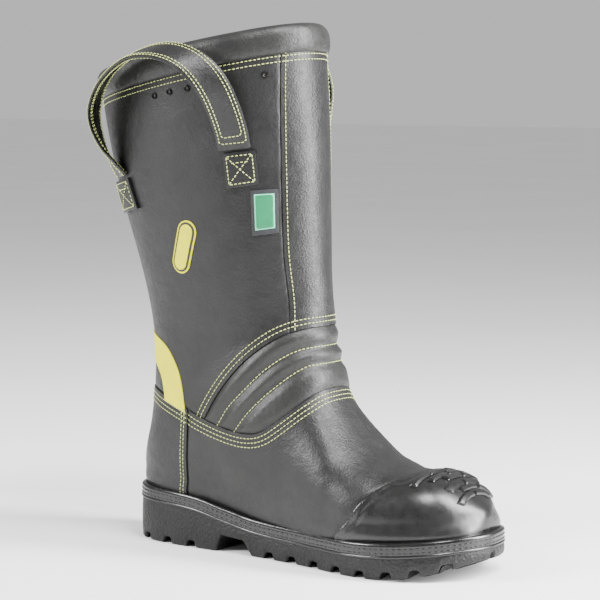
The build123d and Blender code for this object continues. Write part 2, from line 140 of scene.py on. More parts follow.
# ---------------------------------------------------------------- shape helpers
def unit(v):
    v = np.asarray(v, float)
    return v / np.maximum(np.linalg.norm(v, axis=-1, keepdims=True), 1e-9)


def ease(x):
    """0 below 0, 1 above 1, and 3x^2 - 2x^3 between."""
    x = np.clip(x, 0, 1)
    return x * x * (3 - 2 * x)


def smooth_line(points, steps=10):
    """Catmull-Rom curve: a cubic between neighbours whose end slopes are half the chord across them."""
    p = np.asarray(points, float)
    p = np.vstack([2 * p[0] - p[1], p, 2 * p[-1] - p[-2]])
    t = np.linspace(0, 1, steps, endpoint=False)[:, None]
    a, b, c, d = p[:-3, None], p[1:-2, None], p[2:-1, None], p[3:, None]
    line = b + 0.5 * t * (c - a + t * (2 * a - 5 * b + 4 * c - d + t * (3 * (b - c) + d - a)))
    return np.vstack([line.reshape(-1, p.shape[1]), p[-2]])


def even_line(line, count):
    """The same line with points an equal way apart."""
    way = np.r_[0, np.cumsum(np.linalg.norm(np.diff(line, axis=0), axis=1))]
    at = np.linspace(0, way[-1], count)
    return np.stack([np.interp(at, way, column) for column in line.T], axis=1)


def station_values(at):
    """Natural cubic spline through the stations: second slopes solve the tridiagonal system."""
    y = np.array(STATIONS, float)
    n = len(y)
    system = np.eye(n)
    inner = np.arange(1, n - 1)
    system[inner, inner] = 4
    system[inner, inner - 1] = 1
    system[inner, inner + 1] = 1
    right = np.zeros_like(y)
    right[1:-1] = 6 * (y[2:] - 2 * y[1:-1] + y[:-2])
    bend = np.linalg.solve(system, right)
    k = np.clip(np.floor(at).astype(int), 0, n - 2)
    s = (at - k)[:, None]
    rest = 1 - s
    return rest * y[k] + s * y[k + 1] + ((rest ** 3 - rest) * bend[k] + (s ** 3 - s) * bend[k + 1]) / 6


def station_steps():
    """Where the rows of the upper's grid lie, about ROW_STEP apart on the wider side of the fan."""
    low, high = np.array(STATIONS)[:, 0:2], np.array(STATIONS)[:, 2:4]
    move = np.maximum(np.linalg.norm(np.diff(low, axis=0), axis=1),
                      np.linalg.norm(np.diff(high, axis=0), axis=1))
    parts = np.ceil(move / ROW_STEP).astype(int)
    rows = [k + np.arange(n) / n for k, n in enumerate(parts)]
    return np.concatenate(rows + [[len(STATIONS) - 1.0]])


def upper_grid(depth=0.0):
    """The upper at a depth, as rows of rings. A ring is a superellipse whose share along the line from its
    low to its high point is |cos|^(2/n) and whose half width is |sin|^(2/n), spaced evenly by length."""
    v = station_values(station_steps())
    low, high = v[:, 0:2], v[:, 2:4]
    lateral, medial, middle, nb, nt, centre, inward, back = v[:, 4:].T
    step = unit(high - low) * (depth * inward)[:, None]
    shift = np.stack([depth * back, 0 * back], axis=1)
    low, high = low + step - shift, high - step - shift
    angle = np.linspace(0, np.pi, RING_SAMPLES)[None, :]
    power = 2 / np.where(angle < np.pi / 2, nb[:, None], nt[:, None])
    along = np.abs(np.cos(angle)) ** power
    out = np.sin(angle).clip(0) ** power
    m = middle[:, None]
    share = np.where(angle < np.pi / 2, m * (1 - along), m + (1 - m) * along)
    x = low[:, :1] + (high - low)[:, :1] * share
    z = low[:, 1:] + (high - low)[:, 1:] * share
    half = []
    for width in (-(lateral - depth * inward), medial - depth * inward):
        y = centre[:, None] + width[:, None] * out
        half.append([even_line(np.stack(ring, axis=1), AROUND // 2 + 1) for ring in zip(x, y, z)])
    left, right = np.array(half[0]), np.array(half[1])
    rings = np.concatenate([left[:, :-1], right[:, :0:-1]], axis=1)
    tip = np.broadcast_to(rings[0].mean(axis=0) + (0.3, 0, 0), rings[:1].shape)
    return np.concatenate([tip, rings])


def grid_faces(rows, columns, wrap_columns=True, wrap_rows=False):
    """Two triangles for each cell of a grid of points."""
    i, j = np.meshgrid(np.arange(rows - (not wrap_rows)), np.arange(columns - (not wrap_columns)),
                       indexing="ij")
    a = (i * columns + j).ravel()
    b = (i * columns + (j + 1) % columns).ravel()
    c = ((i + 1) % rows * columns + (j + 1) % columns).ravel()
    d = ((i + 1) % rows * columns + j).ravel()
    return np.vstack([np.column_stack([a, b, c]), np.column_stack([a, c, d])])


def grid_normals(place):
    """Unit normals of a grid of rings, from the cross product of its two slopes, and the slopes."""
    down = np.gradient(place, axis=0)
    across = (np.roll(place, -1, axis=1) - np.roll(place, 1, axis=1)) / 2
    return unit(np.cross(across, down)), down, across


def edge_field(place, points, beyond=60.0):
    """Signed distance in the side view to a curve, positive on the left as the curve runs."""
    line = smooth_line(points, 8)
    first, last = unit(line[0] - line[1]) * beyond, unit(line[-1] - line[-2]) * beyond
    line = np.vstack([line[0] + first, line, line[-1] + last])
    flat = place[..., [0, 2]].reshape(-1, 2)
    best, side = np.full(len(flat), 1e9), np.ones(len(flat))
    for start, run in zip(line[:-1], np.diff(line, axis=0)):
        away = flat - start
        share = np.clip(away @ run / (run @ run), 0, 1)
        gap = away - share[:, None] * run
        size = np.hypot(gap[:, 0], gap[:, 1])
        nearer = size < best
        best = np.where(nearer, size, best)
        side = np.where(nearer, np.sign(run[0] * away[:, 1] - run[1] * away[:, 0]), side)
    return (best * side).reshape(place.shape[:-1])


def along_surface(field, down, across):
    """A side-view distance turned into one measured on the surface: divided by its slope there."""
    fu = np.gradient(field, axis=0)
    fv = (np.roll(field, -1, axis=1) - np.roll(field, 1, axis=1)) / 2
    e, f, g = (down * down).sum(-1), (down * across).sum(-1), (across * across).sum(-1)
    slope = (g * fu ** 2 - 2 * f * fu * fv + e * fv ** 2) / np.maximum(e * g - f * f, 1e-6)
    return field / np.clip(np.sqrt(np.maximum(slope, 0)), 0.3, 1.3)


def clip(data, faces, value):
    """Keeps the triangles where the value is positive. A cut edge gets a point where the value is zero,
    in proportion along the edge, and every column is carried to it the same way."""
    inside = value > 0
    count = inside[faces].sum(axis=1)

    def odd_first(triangles, flag):
        turn = np.argmax(inside[triangles] == flag, axis=1)
        return np.take_along_axis(triangles, (turn[:, None] + np.arange(3)) % 3, axis=1)

    one, two = odd_first(faces[count == 1], True), odd_first(faces[count == 2], False)
    edges = np.vstack([one[:, [0, 1]], one[:, [0, 2]], two[:, [0, 1]], two[:, [0, 2]]])
    ends, number = np.unique(np.sort(edges, axis=1), axis=0, return_inverse=True)
    before, after = value[ends[:, 0]], value[ends[:, 1]]
    share = (before / (before - after))[:, None]
    fresh = data[ends[:, 0]] * (1 - share) + data[ends[:, 1]] * share
    number = len(data) + number.ravel()
    n, m = len(one), len(two)
    ab, ac, ba, ca = number[:n], number[n:2 * n], number[2 * n:2 * n + m], number[2 * n + m:]
    kept = np.vstack([faces[count == 3], np.column_stack([one[:, 0], ab, ac]),
                      np.column_stack([ba, two[:, 1], two[:, 2]]), np.column_stack([ba, two[:, 2], ca])])
    used, kept = np.unique(kept, return_inverse=True)
    return np.vstack([data, fresh])[used], kept.reshape(-1, 3)


def level_lines(data, faces, value):
    """The lines where a value is zero on a surface, each as its points in order."""
    inside = value > 0
    count = inside[faces].sum(axis=1)
    cut = faces[(count == 1) | (count == 2)]
    lone = (inside[cut].sum(axis=1) == 1)[:, None]
    turn = np.argmax(inside[cut] == lone, axis=1)
    cut = np.take_along_axis(cut, (turn[:, None] + np.arange(3)) % 3, axis=1)
    edges = np.sort(np.vstack([cut[:, [0, 1]], cut[:, [0, 2]]]), axis=1)
    ends, number = np.unique(edges, axis=0, return_inverse=True)
    before, after = value[ends[:, 0]], value[ends[:, 1]]
    share = (before / (before - after))[:, None]
    points = data[ends[:, 0]] * (1 - share) + data[ends[:, 1]] * share
    number = number.ravel()
    half = len(cut)
    beside = {}
    for a, b in zip(number[:half], number[half:]):
        beside.setdefault(a, []).append(b)
        beside.setdefault(b, []).append(a)
    lines, left = [], set(beside)
    while left:
        ends_left = [k for k in left if len(beside[k]) == 1]
        chain = [ends_left[0] if ends_left else next(iter(left))]
        left.discard(chain[0])
        while True:
            onward = [k for k in beside[chain[-1]] if k in left]
            if not onward:
                break
            chain.append(onward[0])
            left.discard(onward[0])
        lines.append(points[chain])
    return lines


# ---------------------------------------------------------------- meshes
def add_mesh(name, place, faces, materials, material_of_face=None, sharp=0.7, attributes=()):
    """A mesh in the row frame from millimetre points and triangles."""
    mesh = bpy.data.meshes.new(name)
    spots = (np.asarray(place, float) - (FOOTPRINT_MID, 0, 0)) / 1000
    mesh.vertices.add(len(spots))
    mesh.vertices.foreach_set("co", spots.astype(np.float32).ravel())
    mesh.loops.add(faces.size)
    mesh.loops.foreach_set("vertex_index", faces.astype(np.int32).ravel())
    mesh.polygons.add(len(faces))
    mesh.polygons.foreach_set("loop_start", np.arange(0, faces.size, 3, dtype=np.int32))
    for material in materials:
        mesh.materials.append(material)
    if material_of_face is not None:
        mesh.polygons.foreach_set("material_index", material_of_face.astype(np.int32))
    mesh.update(calc_edges=True)
    mesh.validate()
    for label, values in dict(attributes).items():
        mesh.attributes.new(label, "FLOAT", "POINT").data.foreach_set("value", values.astype(np.float32))
    mesh.polygons.foreach_set("use_smooth", np.ones(len(mesh.polygons), bool))
    mesh.set_sharp_from_angle(angle=sharp)
    piece = bpy.data.objects.new(name, mesh)
    bpy.context.scene.collection.objects.link(piece)
    return piece


def shell(place, out, faces, thickness):
    """A sheet given thickness: the outer face, a copy of it moved in along the normals, and a wall
    round the open edges. The last number says which triangles are the wall."""
    n = len(place)
    edges = np.vstack([faces[:, [0, 1]], faces[:, [1, 2]], faces[:, [2, 0]]])
    single = np.unique(np.sort(edges, axis=1), axis=0, return_inverse=True, return_counts=True)
    a, b = edges[(single[2][single[1].ravel()] == 1)].T
    wall = np.vstack([np.column_stack([b, a, a + n]), np.column_stack([b, a + n, b + n])])
    whole = np.vstack([faces, faces[:, ::-1] + n, wall])
    return np.vstack([place, place - out * thickness]), whole, len(wall)


def follow(place, out, spacing):
    """Middles, directions and normals of stitches set an equal way apart along a line."""
    way = np.r_[0, np.cumsum(np.linalg.norm(np.diff(place, axis=0), axis=1))]
    count = max(int(way[-1] / spacing), 1)
    at = (np.arange(count) + 0.5) * way[-1] / count

    def sample(values, where):
        return np.stack([np.interp(where, way, column) for column in values.T], axis=1)

    ahead = unit(sample(place, at + 0.8) - sample(place, at - 0.8))
    return sample(place, at), ahead, unit(sample(out, at))


def stitches(name, lines, material, body, spacing=3.2, length=2.3, thick=0.66, proud=0.1):
    """Thread along lines: each stitch is a six-sided tube, full in the middle and drawn in at its ends,
    where its height over the leather also falls, as a cosine of the place along it."""
    s = np.array([-1.0, -0.72, 0.0, 0.72, 1.0])
    turn = np.arange(6) * np.pi / 3
    girth = np.array([0.25, 0.85, 1.0, 0.85, 0.25]) * thick / 2
    rise = proud + 0.2 * np.cos(s * np.pi / 2)
    shape = np.stack([np.repeat(s * length / 2, 6), np.outer(girth, np.cos(turn)).ravel(),
                      (rise[:, None] + np.outer(girth, np.sin(turn))).ravel()], axis=1)
    ends = np.array([[0, k, k + 1] for k in range(1, 5)])
    tube = np.vstack([grid_faces(5, 6), ends[:, ::-1], ends + 24])
    every = [follow(place, out, spacing) for place, out in lines if len(place) > 2]
    middle, ahead, up = (np.concatenate(parts) for parts in zip(*every))
    side = unit(np.cross(up, ahead))
    spots = (middle[:, None] + shape[None, :, :1] * ahead[:, None] + shape[None, :, 1:2] * side[:, None]
             + shape[None, :, 2:] * up[:, None]).reshape(-1, 3)
    faces = (tube[None] + 30 * np.arange(len(middle))[:, None, None]).reshape(-1, 3)
    settle(add_mesh(name, spots, faces[:, ::-1], [material], sharp=3.0), body)


def loop_lines():
    """The lateral loop's rear end, the direction to its front end, and the way that the loop stands."""
    front, rear = np.array(LOOP_FRONT), np.array(LOOP_REAR)
    chord = unit(front - rear)
    aside = -unit(np.cross((0, 0, 1), chord))
    upright = np.cross(chord, aside)
    upright = upright * np.sign(upright[2])
    turn = np.radians(STRAP_LEAN)
    return rear, chord, upright * np.cos(turn) + aside * np.sin(turn)


def settle(piece, body):
    """Puts a piece on a body. Pieces for the ankle and the pull loops only get their placement baked into
    the mesh; any other piece is parented to the body's empty."""
    if body == "ankle":
        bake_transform(piece)
    elif body in ("lateral_loop", "medial_loop"):
        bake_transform(piece)
    else:
        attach(piece, body)


# ---------------------------------------------------------------- materials
def srgb(code):
    """A hex sRGB colour as linear red, green, blue and full alpha."""
    parts = np.array([int(code[k:k + 2], 16) for k in (1, 3, 5)]) / 255
    return tuple(np.where(parts <= 0.04045, parts / 12.92, ((parts + 0.055) / 1.055) ** 2.4)) + (1.0,)


def node(tree, kind, settings=(), inputs=()):
    """Adds a shader node with its settings and its inputs, which are values or sockets to link."""
    made = tree.nodes.new("ShaderNode" + kind)
    for key, value in dict(settings).items():
        setattr(made, key, value)
    for key, value in dict(inputs).items():
        if isinstance(value, bpy.types.NodeSocket):
            tree.links.new(value, made.inputs[key])
        else:
            made.inputs[key].default_value = value
    return made


def material(name, colours, blotch, rough, bumps, constants=(), border=None):
    """A finish from two colours mixed by noise of one size in mm, a roughness range on finer noise, and
    bumps, each (texture, size in mm, height in mm). A border is an edge colour and its width in mm."""
    made = bpy.data.materials.new(name)
    made.use_nodes = True
    tree = made.node_tree
    shader = tree.nodes["Principled BSDF"]
    place = node(tree, "TexCoord").outputs["Object"]
    patches = node(tree, "TexNoise", inputs={"Vector": place, "Scale": 1000 / blotch, "Detail": 4.0})
    tone = node(tree, "MapRange", inputs={"Value": patches.outputs["Fac"], "From Min": 0.3, "From Max": 0.7})
    mix = node(tree, "Mix", {"data_type": "RGBA"}, {0: tone.outputs[0], 6: srgb(colours[0]),
                                                    7: srgb(colours[1])})
    colour = mix.outputs[2]
    if border:
        reach = node(tree, "Attribute", {"attribute_name": "edge_mm"})
        inside = node(tree, "MapRange", inputs={"Value": reach.outputs["Fac"], "From Min": border[1] - 0.15,
                                                "From Max": border[1] + 0.15})
        colour = node(tree, "Mix", {"data_type": "RGBA"}, {0: inside.outputs[0], 6: srgb(border[0]),
                                                           7: colour}).outputs[2]
    tree.links.new(colour, shader.inputs["Base Color"])
    fine = node(tree, "TexNoise", inputs={"Vector": place, "Scale": 1000 / (blotch / 5), "Detail": 3.0})
    worn = node(tree, "MapRange", inputs={"Value": fine.outputs["Fac"], "From Min": 0.3, "From Max": 0.7,
                                          "To Min": rough[0], "To Max": rough[1]})
    tree.links.new(worn.outputs[0], shader.inputs["Roughness"])
    normal = None
    for texture, size, height in bumps:
        inputs = {"Vector": place, "Scale": 1000 / size}
        pattern = node(tree, "Tex" + texture, inputs=inputs)
        inputs = {"Height": pattern.outputs["Distance" if texture == "Voronoi" else "Fac"],
                  "Distance": height / 1000, "Strength": 1.0}
        if normal is not None:
            inputs["Normal"] = normal
        normal = node(tree, "Bump", inputs=inputs).outputs["Normal"]
    if normal is not None:
        tree.links.new(normal, shader.inputs["Normal"])
    for key, value in dict(constants).items():
        shader.inputs[key].default_value = value
    return made


# Chrome-tanned full-grain cowhide, dyed through and waxed: satin, with slow dips about 16 mm long. Its
# pores are drawn 1.7 mm apart, several times coarser than real ones, so that they show.
full_grain_leather = material("full_grain_leather", ("#0F0F0F", "#191919"), 24, (0.38, 0.50),
                              [("Noise", 16, 0.8), ("Voronoi", 1.7, 0.13), ("Noise", 0.9, 0.09)],
                              {"Specular IOR Level": 0.4})
# Milled nappa over foam: paler, with short creases. Its grain is drawn 1.2 mm apart, coarser than real.
milled_leather = material("milled_nappa_leather", ("#161616", "#212120"), 18, (0.38, 0.50),
                          [("Noise", 9, 0.45), ("Noise", 2.2, 0.16), ("Voronoi", 1.2, 0.1)],
                          {"Specular IOR Level": 0.4})
# The raw cut edge of the cowhide: matt and fibrous, its colour lightened well above the dyed-through hide as
# a painted highlight along the edge.
cut_edge_with_painted_highlight = material("cut_edge_with_painted_highlight", ("#3B3A35", "#52504A"), 3, (0.6, 0.8),
                            [("Noise", 0.7, 0.15)])
# Moulded nitrile rubber with a smooth mould face.
moulded_rubber = material("moulded_nitrile_rubber", ("#0B0B0B", "#131313"), 30, (0.26, 0.36),
                          [("Noise", 9, 0.10), ("Noise", 1.4, 0.02)])
# The same rubber from a spark-eroded mould, with pebbles drawn 2.4 mm apart.
pebbled_rubber = material("pebbled_nitrile_rubber", ("#0D0D0D", "#151515"), 12, (0.40, 0.55),
                          [("Voronoi", 2.4, 0.5), ("Noise", 1.0, 0.15)], {"Specular IOR Level": 0.3})
# The same rubber from a polished part of the mould.
polished_rubber = material("polished_nitrile_rubber", ("#0B0B0B", "#131313"), 20, (0.16, 0.28),
                           [("Noise", 5, 0.15)])
# Bonded aramid thread, waxed, pale lime.
aramid_thread = material("bonded_aramid_thread", ("#C6CF86", "#B5BF70"), 5, (0.5, 0.65),
                         [("Noise", 0.4, 0.1)])
# Retroreflective vinyl, fluorescent yellow. Its cells are drawn 1.3 mm wide, coarser than real prisms.
yellow_vinyl = material("fluorescent_yellow_vinyl", ("#DEDA00", "#D2CE00"), 10, (0.5, 0.6),
                        [("Voronoi", 1.3, 0.03)], {"Specular IOR Level": 0.15})
# Woven polyester tape, with the weave as plain noise.
black_tape = material("woven_black_tape", ("#17181A", "#222326"), 4, (0.55, 0.7), [("Noise", 0.9, 0.12)])
# Green film with a pale border 0.8 mm wide.
green_print = material("green_printed_film", ("#057A4E", "#047046"), 8, (0.4, 0.5),
                       [("Noise", 1.2, 0.04)], border=("#5FC79F", 0.8))
# Brushed-knit polyester lining, charcoal, with its loops drawn 1.6 mm apart, coarser than real.
knit_lining = material("brushed_knit_lining", ("#232322", "#302F2D"), 8, (0.8, 0.95),
                       [("Voronoi", 1.6, 0.3), ("Noise", 6, 0.6)], {"Sheen Weight": 0.15})
# Needled aramid felt, the natural straw colour of the fibre.
aramid_felt = material("needled_aramid_felt", ("#C9B56A", "#B7A45C"), 6, (0.85, 0.95),
                       [("Noise", 1.2, 0.4)])
# The footbed's antistatic cloth, with its weave drawn 1.4 mm apart, coarser than real.
foot_fabric = material("antistatic_footbed_fabric", ("#2E3234", "#3B4042"), 6, (0.8, 0.95),
                       [("Voronoi", 1.4, 0.25)])
# Open-cell polyurethane foam, with its cells drawn 1 mm across, coarser than real.
soft_foam = material("polyurethane_foam", ("#BDB7A2", "#A9A48F"), 5, (0.8, 0.92), [("Voronoi", 1.0, 0.3)])
# Hardened steel, ground.
hard_steel = material("hardened_steel", ("#8C8F92", "#9A9DA0"), 12, (0.28, 0.42), [("Noise", 0.8, 0.03)],
                      {"Metallic": 1.0})
# Glass-fibre composite, moulded.
toe_composite = material("glass_fibre_composite", ("#C9C3A8", "#B5AF96"), 7, (0.4, 0.55),
                         [("Voronoi", 2.0, 0.1)])
# Thermoplastic counter board.
stiff_board = material("thermoplastic_counter_board", ("#D8D4C8", "#C7C3B6"), 9, (0.5, 0.65),
                       [("Noise", 1.5, 0.1)])
# Brass, chemically blackened.
black_metal = material("black_oxidised_brass", ("#1B1A19", "#292725"), 3, (0.3, 0.45),
                       [("Noise", 0.6, 0.03)], {"Metallic": 1.0})

# ---------------------------------------------------------------- the upper's surface and its seams
place = upper_grid()
rows, columns = place.shape[:2]
out, down, across = grid_normals(place)
sign = np.sign((out[rows // 2] * (place[rows // 2] - place[rows // 2].mean(axis=0))).sum())
out = out * sign
out[0] = (1.0, 0.0, 0.0)
# The leather isn't dead flat: long shallow waves, under a millimetre high.
wave = (0.35 * np.sin(place[..., 2] / 21 + place[..., 0] / 37) + 0.3 * np.sin(place[..., 0] / 13
        - place[..., 2] / 29 + place[..., 1] / 17)) * ease((place[..., 2] - 60) / 60)
place = place + out * wave[..., None]
top = edge_field(place, TOP_SEAM)
fields = {"toe": -edge_field(place, TOE_EDGE), "foot": -edge_field(place, FOOT_EDGE),
          "flex": edge_field(place, FLEX_EDGE), "row_a": edge_field(place, FLEX_ROW_A),
          "row_b": edge_field(place, FLEX_ROW_B), "front": -edge_field(place, FRONT_EDGE),
          "counter": -edge_field(place, COUNTER_EDGE),
          "arch_outer": -edge_field(place, ARCH_OUTER), "arch_inner": edge_field(place, ARCH_INNER)}
fields = {name: along_surface(values, down, across) for name, values in fields.items()}
fields["seam"] = -top
fields["rim"] = edge_field(place, RIM)
fields["back"] = np.where(place[..., 0] < 60, 13 - np.abs(place[..., 1]), -50)
fields["side"] = -place[..., 1]
tilt = np.radians(BADGE_TILT)
lean = np.array((np.sin(tilt), np.cos(tilt)))
away = place[..., [0, 2]] - BADGE_MIDDLE
reach = np.clip(away @ lean, BADGE_HALF_WIDE - BADGE_HALF_LONG, BADGE_HALF_LONG - BADGE_HALF_WIDE)
fields["badge"] = np.where(place[..., 1] < 0, BADGE_HALF_WIDE - np.linalg.norm(
    away - reach[..., None] * lean, axis=-1), -50)
COLUMN = {name: 6 + k for k, name in enumerate(fields)}
surface = np.concatenate([place, out] + [f[..., None] for f in fields.values()], axis=2)
surface = surface.reshape(-1, surface.shape[2])


def closed_faces(ring_count, per_ring):
    """Triangles of a grid of rings whose first ring is one point, facing out."""
    faces = grid_faces(ring_count, per_ring)
    faces = np.where(faces < per_ring, 0, faces)
    apart = np.roll(faces, 1, axis=1) != faces
    return faces[apart.all(axis=1)][:, ::FACE_TURN]


probe = surface[grid_faces(rows, columns)[len(surface) // 4]][:, :6]
FACE_TURN = int(np.sign(np.dot(np.cross(probe[1, :3] - probe[0, :3], probe[2, :3] - probe[0, :3]),
                               probe[0, 3:6])))
surface_faces = closed_faces(rows, columns)


def cut_out(keep, lift):
    """The part of the upper where every (seam, direction, allowance) holds, raised by a function of the
    surface's columns, which gives millimetres over the upper."""
    data, faces = surface, surface_faces
    for name, direction, allowance in keep:
        data, faces = clip(data, faces, direction * data[:, COLUMN[name]] + allowance)
    data = data.copy()
    data[:, :3] += data[:, 3:6] * np.reshape(lift(data), (-1, 1))
    return data, faces


def sheet_piece(name, keep, lift, materials, body, replaces=(), thickness=COVER):
    """One panel of the upper with thickness and its cut edge."""
    data, faces = cut_out(keep, lift)
    spots, whole, wall = shell(data[:, :3], data[:, 3:6], faces, thickness)
    which = np.zeros(len(whole), int)
    which[len(whole) - wall:] = len(materials) - 1
    piece = add_mesh(name, spots, whole, materials, which)
    settle(piece, body)
    if replaces:
        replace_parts(piece, *replaces)
    return data, faces


def row_lines(panel, name, distance):
    """Lines on a panel at a distance from one of its seams, with their normals."""
    data, faces = panel
    lines = level_lines(data, faces, data[:, COLUMN[name]] - distance)
    return [(line[:, :3], line[:, 3:6]) for line in lines if len(line) > 6]


def get(data, name):
    return data[:, COLUMN[name]]


def flare(data):
    """How far the lasted leather spreads toward the sole: an eased ramp over its lowest centimetre."""
    return 3.4 * ease(1 - get(data, "rim") / 15)


def bulge_lift(data):
    """Padded bulges between the stitch rows: one less a bell curve of the distance to the nearest row."""
    to_row = np.minimum(abs(get(data, "row_a")), abs(get(data, "row_b")))
    to_edge = np.minimum(-get(data, "flex") + 1.2, -get(data, "foot") + 1.5).clip(0)
    return -0.1 + 2.7 * (1 - np.exp(-(np.minimum(to_row, to_edge) / 4.6) ** 2))


def shaft_lift(data):
    """The shaft's sides: low where the vamp and the front panel lap over them, eased up beyond."""
    return 0.2 + 1.2 * ease(-get(data, "foot") / 3) * ease(-get(data, "front") / 2.5 + 0.3)


def vamp_lift(data):
    """The vamp: low under the counter and the toe cover, eased up between them, and flared at the sole."""
    clear = ease(-get(data, "counter") / 3) * ease(-get(data, "toe") / 3 + 0.2)
    return 0.3 + flare(data) + 1.3 * clear


def toe_lift(data):
    """The toe cover, with two raised lines beside its edge, each a bell curve."""
    near, far = (np.exp(-((get(data, "toe") - away_mm) / 1.2) ** 2) for away_mm in (1.4, 6.6))
    return 1.7 + flare(data) + 0.9 * near + 0.6 * far


def band_lift(data):
    """The yellow band: over the leather, and eased up in two steps to pass over the back stay."""
    back = get(data, "back")
    return 2.0 + 0.5 * ease(back / 2 + 0.4) + 0.5 * ease((back + 3) / 3)


# The second finish, for the panels' cut-edge walls, is lightened as a painted highlight.
leather_pair = [full_grain_leather, cut_edge_with_painted_highlight]
flex_panel = sheet_piece("instep_flex_leather", [("foot", -1, 7), ("flex", -1, 7), ("rim", 1, 0)],
                         bulge_lift, [milled_leather], "ankle", ("instep_flex_panel",))
shaft_keep = [("flex", 1, 0), ("foot", -1, 7), ("seam", 1, 4), ("front", -1, 7)]
side_panels = []
for label, direction in (("lateral", 1), ("medial", -1)):
    side_panels.append(sheet_piece(f"shaft_leather_{label}", shaft_keep + [("side", direction, 0)],
                                   shaft_lift, leather_pair, "ankle", (f"shaft_panel_{label}",)))
back_stay = sheet_piece("back_stay", [("back", 1, 0), ("foot", -1, 7), ("seam", 1, 4)],
                        lambda d: 1.3 + 1.1 * ease(get(d, "back") / 2 + 0.4), leather_pair, "ankle")
front_panel = sheet_piece("shaft_front_leather", [("flex", 1, 0.4), ("seam", 1, 4), ("front", 1, 0)],
                          lambda d: 1.5, leather_pair, "ankle", ("shaft_front_panel",))
vamp = sheet_piece("vamp_leather", [("toe", -1, 7), ("foot", 1, 0), ("counter", -1, 8), ("rim", 1, 7)],
                   vamp_lift, leather_pair, "ankle", ("vamp",))
counter = sheet_piece("heel_counter_leather", [("foot", 1, 0), ("counter", 1, 0), ("rim", 1, 7)],
                      lambda d: 1.9 + flare(d), leather_pair, "ankle", ("heel_counter_cover",))
sheet_piece("toe_cover_rubber", [("toe", 1, 0), ("rim", 1, 7)], toe_lift, [moulded_rubber],
            "foot", ("toe_cap_cover",), 1.6)
sheet_piece("heel_band_vinyl", [("arch_outer", 1, 0), ("arch_inner", 1, 0), ("foot", -1, 3)],
            band_lift, [yellow_vinyl], "ankle", ("heel_reflector",), 0.9)
sheet_piece("badge_backing", [("badge", 1, 0)], lambda d: 2.2, [yellow_vinyl],
            "shaft", ("emblem",), 1.0)
sheet_piece("badge_line", [("badge", 1, -1.3)], lambda d: 2.6, [moulded_rubber],
            "shaft", (), 0.6)
sheet_piece("badge_face", [("badge", 1, -2.9)], lambda d: 3.0 + 0.3 * ease((get(d, "badge") - 2.9) / 1.5),
            [yellow_vinyl], "shaft", (), 0.6)

sheet_piece("toe_cap_shell", [("toe", 1, 4), ("rim", 1, 9)], lambda d: -2.3,
            [toe_composite], "foot", ("safety_toe_cap",), 1.7)
sheet_piece("counter_board", [("foot", 1, -24), ("counter", 1, 4), ("rim", 1, 9)],
            lambda d: -2.3, [stiff_board], "ankle", ("heel_stiffener",), 1.6)

# Thread.
ankle_rows = row_lines(flex_panel, "row_a", 0) + row_lines(flex_panel, "row_b", 0)
for distance in (3.0, 6.4, 9.8):
    ankle_rows += row_lines(vamp, "foot", distance) + row_lines(counter, "foot", distance)
for distance in (2.6, 5.4):
    ankle_rows += row_lines(counter, "counter", distance)
for panel in side_panels + [front_panel]:
    ankle_rows += row_lines(panel, "flex", 3.0) + row_lines(panel, "flex", 6.6)
    ankle_rows += row_lines(panel, "seam", 3.0) + row_lines(panel, "seam", 7.0)
ankle_rows += row_lines(front_panel, "front", 3.4)
ankle_rows += row_lines(back_stay, "back", 2.6)
stitches("upper_thread", ankle_rows, aramid_thread, "ankle")


# ---------------------------------------------------------------- toe grip bars
def on_grid(row, column):
    """Places and normals at fractional rows and columns of the upper, by straight interpolation."""
    i, j = np.floor(row).astype(int), np.floor(column).astype(int)
    s, t = (row - i)[..., None], (column - j)[..., None]
    both = np.concatenate([place, out], axis=2)
    j, k = j % columns, (j + 1) % columns
    value = ((both[i, j] * (1 - t) + both[i, k] * t) * (1 - s)
             + (both[i + 1, j] * (1 - t) + both[i + 1, k] * t) * s)
    return value[..., :3], unit(value[..., 3:])


def toe_bars():
    """Six staggered rows of bars: each is a small grid on the toe whose height is the product of two
    eased edges, so that its rim falls to the rubber."""
    spots, faces = [], []
    s, t = np.linspace(-1, 1, 9), np.linspace(-1, 1, 21)
    ss, tt = np.meshgrid(s, t, indexing="ij")
    height = 0.2 + 1.7 * ease((1 - abs(ss)) * 2.4) * ease((1 - abs(tt)) * 9)
    middle = columns // 2
    ring = place[:, middle]
    for k, x in enumerate((256.0, 263.0, 269.5, 275.5, 281.0, 285.5)):
        row = np.argmin(abs(ring[:, 0] - x) + (ring[:, 2] > 80) * 900)
        row_mm = np.linalg.norm(ring[row + 1] - ring[row])
        column_mm = np.linalg.norm(place[row, middle + 1] - place[row, middle])
        for y in np.arange(-3, 4) * 22.0 - (11.0 if k % 2 else 0.0):
            if abs(y + 5) > 30 - 2 * k:
                continue
            spot, up = on_grid(row + ss * 2.7 / row_mm, middle - (y + tt * 10.0) / column_mm)
            spots.append((spot + up * (1.9 + height)[..., None]).reshape(-1, 3))
            faces.append(grid_faces(9, 21, False) + 189 * len(faces))
    piece = add_mesh("toe_grip_bars", np.concatenate(spots), np.concatenate(faces), [moulded_rubber])
    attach(piece, "foot")


toe_bars()


# ---------------------------------------------------------------- collar
def seam_ring():
    """Where the top seam crosses each column of the upper, with the normal and the way up there."""
    row = np.array([np.interp(0, top[ROWS_NEAR_TOP:, k], np.arange(ROWS_NEAR_TOP, rows))
                    for k in range(columns)])
    spot, up = on_grid(row, np.arange(columns, dtype=float))
    higher, _ = on_grid(row + 1.5, np.arange(columns, dtype=float))
    lower, _ = on_grid(row - 1.5, np.arange(columns, dtype=float))
    return spot, up, unit(higher - lower)


